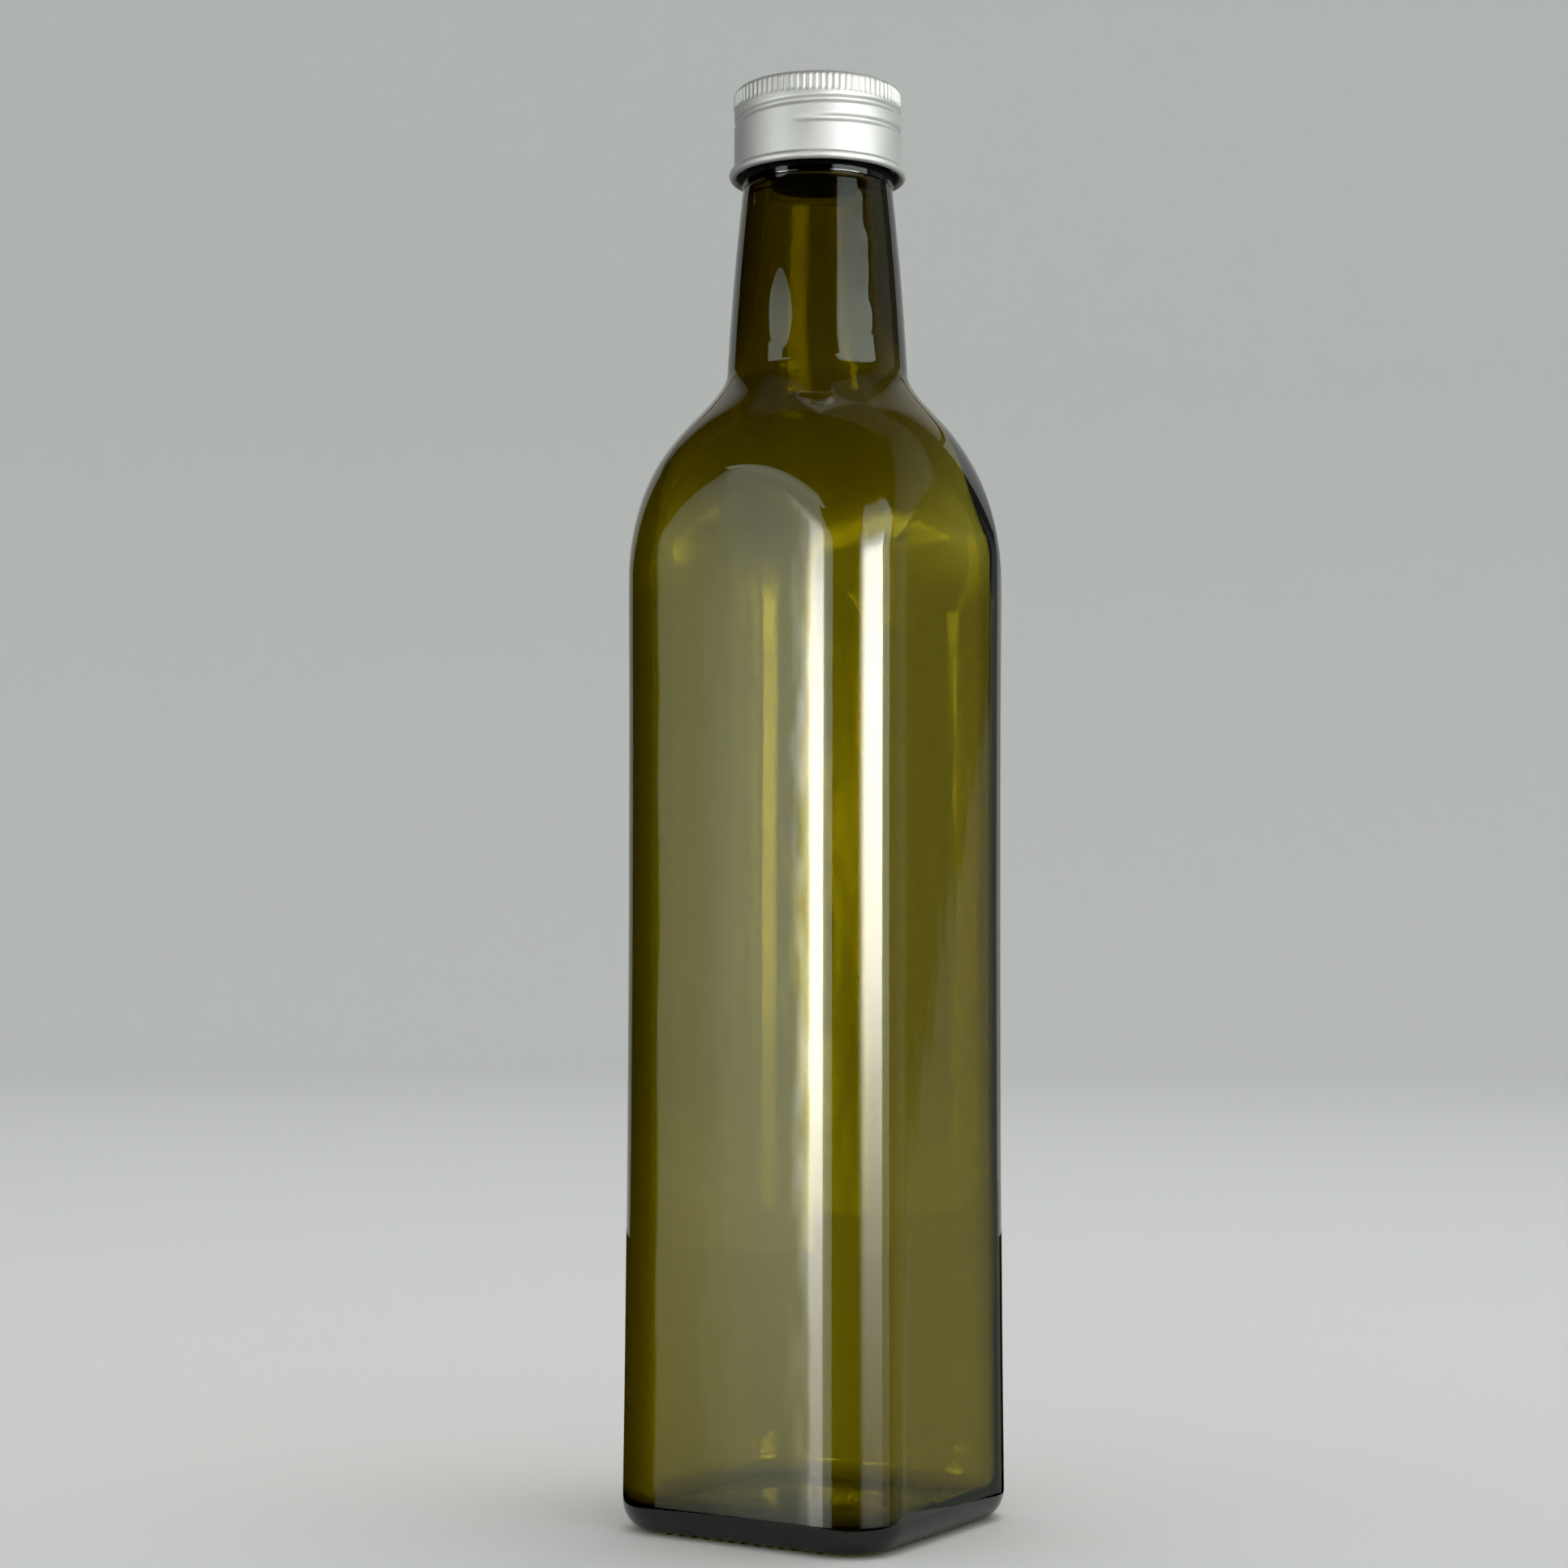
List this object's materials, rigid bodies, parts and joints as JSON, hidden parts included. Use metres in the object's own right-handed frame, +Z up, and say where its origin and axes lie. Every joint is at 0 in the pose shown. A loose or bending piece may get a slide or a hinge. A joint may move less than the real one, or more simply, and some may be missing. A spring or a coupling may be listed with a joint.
{
  "type": "square glass oil bottle",
  "caption": "Empty tall square bottle of dark olive glass with a domed shoulder, a tapered round neck and a satin aluminium screw cap.",
  "frame": {"origin": "centre of the base, on the plane that the bottle stands on", "axes": "+Z up along the bottle's axis; the four flat sides face +X, -X, +Y and -Y"},
  "size_m": [0.0572, 0.0572, 0.2681],
  "materials": {
    "olive_glass": "clear dark olive glass, glossy",
    "satin_aluminium": "satin, pressed and knurled"
  },
  "bodies": {
    "root": {"bottle": "olive_glass", "cap": "satin_aluminium"}
  },
  "joints": []
}
